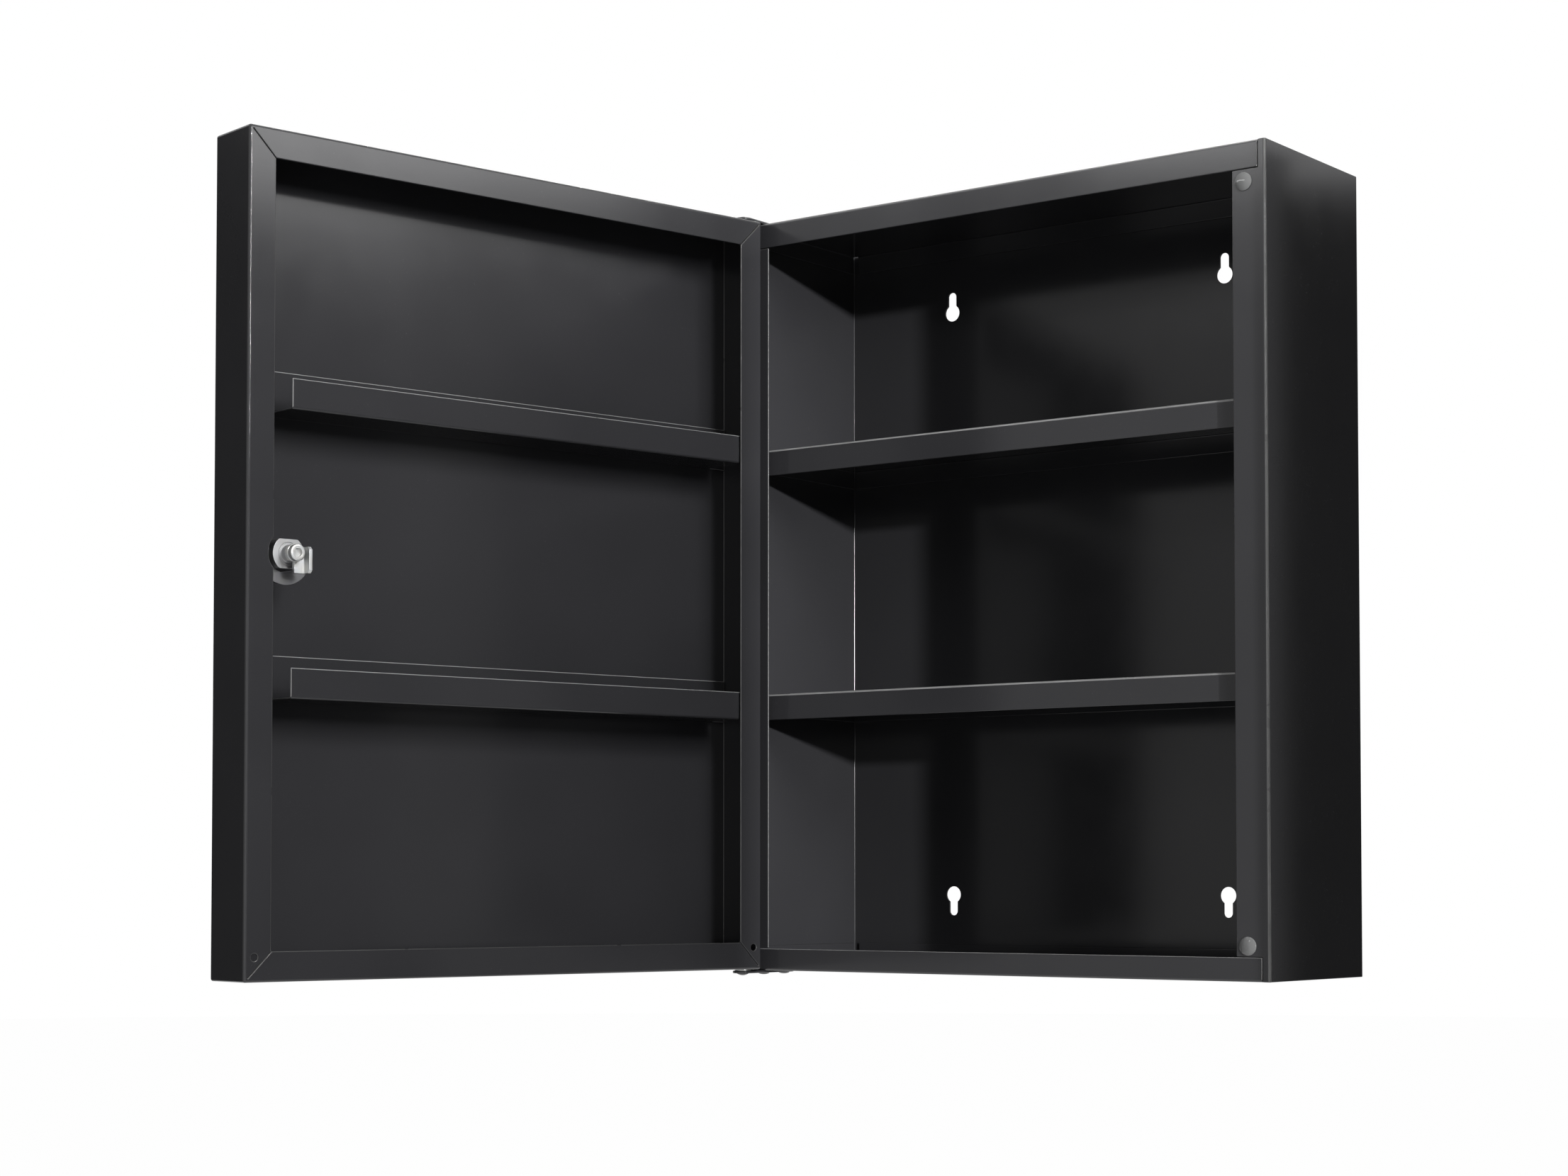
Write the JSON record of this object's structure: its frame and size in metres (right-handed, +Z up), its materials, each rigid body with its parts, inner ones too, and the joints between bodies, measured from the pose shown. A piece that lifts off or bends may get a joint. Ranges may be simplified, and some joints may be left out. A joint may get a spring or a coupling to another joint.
{
  "type": "medicine cabinet",
  "caption": "Wall-hung sheet-steel medicine cabinet with fixed shelves, a hinged door with racks inside and a mirror outside, and a cam lock.",
  "frame": {"origin": "middle of the case's back face, on the wall plane", "axes": "+X to the viewer's right, +Y into the wall, +Z up; the door's side of the case faces -Y"},
  "size_m": [0.4397, 0.4603, 0.4556],
  "materials": {
    "black_paint": "satin black powder coat",
    "zinc_steel": "bright zinc plate",
    "dark_steel": "dark phosphated spring steel",
    "lock_chrome": "satin nickel plate",
    "wafer_brass": "plain",
    "mirror": "polished, bevelled edge",
    "foam_tape": "matt foam",
    "clear_bumper": "clear soft polyurethane"
  },
  "bodies": {
    "case": {"case_wrap": "black_paint", "top_tray": "black_paint", "bottom_tray": "black_paint", "upper_shelf": "black_paint", "lower_shelf": "black_paint", "top_hinge_plate": "black_paint", "bottom_hinge_plate": "black_paint", "hinge_rivets": "black_paint", "top_hinge_pivot": "black_paint", "bottom_hinge_pivot": "black_paint", "top_hinge_washer": "zinc_steel", "bottom_hinge_washer": "zinc_steel", "upper_bumper": "clear_bumper", "lower_bumper": "clear_bumper"},
    "door": {"door_pan": "black_paint", "upper_rack": "black_paint", "upper_rack_plate": "black_paint", "lower_rack": "black_paint", "lower_rack_plate": "black_paint", "mirror_pane": "mirror", "mirror_tape": "foam_tape", "lock_barrel": "lock_chrome", "lock_nut": "zinc_steel", "lock_clip": "dark_steel"},
    "lock_core": {"lock_plug": "lock_chrome", "lock_wafers": "wafer_brass", "lock_cam": "zinc_steel", "cam_washer": "zinc_steel", "cam_screw": "zinc_steel"}
  },
  "joints": [
    {"name": "door_hinge", "type": "hinge", "parent": "case", "child": "door", "pos_m": [-0.169, -0.122, 0], "axis": [0, 0, -1], "range_deg": [-102, 18]},
    {"name": "lock_turn", "type": "hinge", "parent": "door", "child": "lock_core", "pos_m": [-0.22554, -0.43611, 0], "axis": [-0.9781, 0.2079, 0], "range_deg": [0, 180]}
  ]
}
